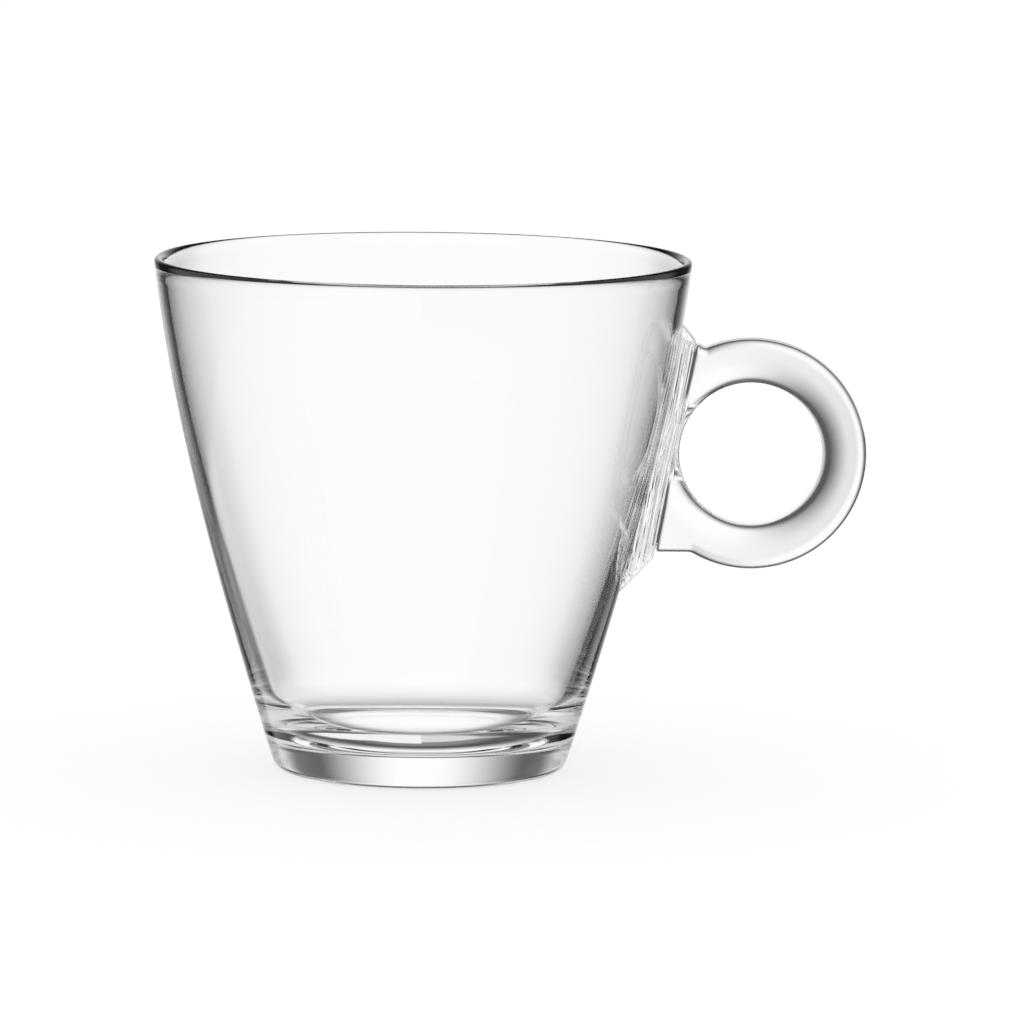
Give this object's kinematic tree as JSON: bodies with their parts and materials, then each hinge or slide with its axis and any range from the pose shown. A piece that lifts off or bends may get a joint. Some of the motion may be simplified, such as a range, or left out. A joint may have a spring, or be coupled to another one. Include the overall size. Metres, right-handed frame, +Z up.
{
  "type": "espresso cup",
  "caption": "Small clear glass coffee cup: tapered round bowl with a beaded rim and a thick solid base, and a ring handle welded to a flat land on its wall.",
  "frame": {"origin": "centre of the foot, on the bowl's axis, in the plane that the cup stands on", "axes": "+Z up along the bowl's axis, +X towards the ring handle, +Y completes the right-handed frame"},
  "size_m": [0.0876, 0.066, 0.0633],
  "materials": {
    "clear_glass": "clear, fire polished"
  },
  "bodies": {
    "root": {"cup_body": "clear_glass", "ring_handle": "clear_glass"}
  },
  "joints": []
}
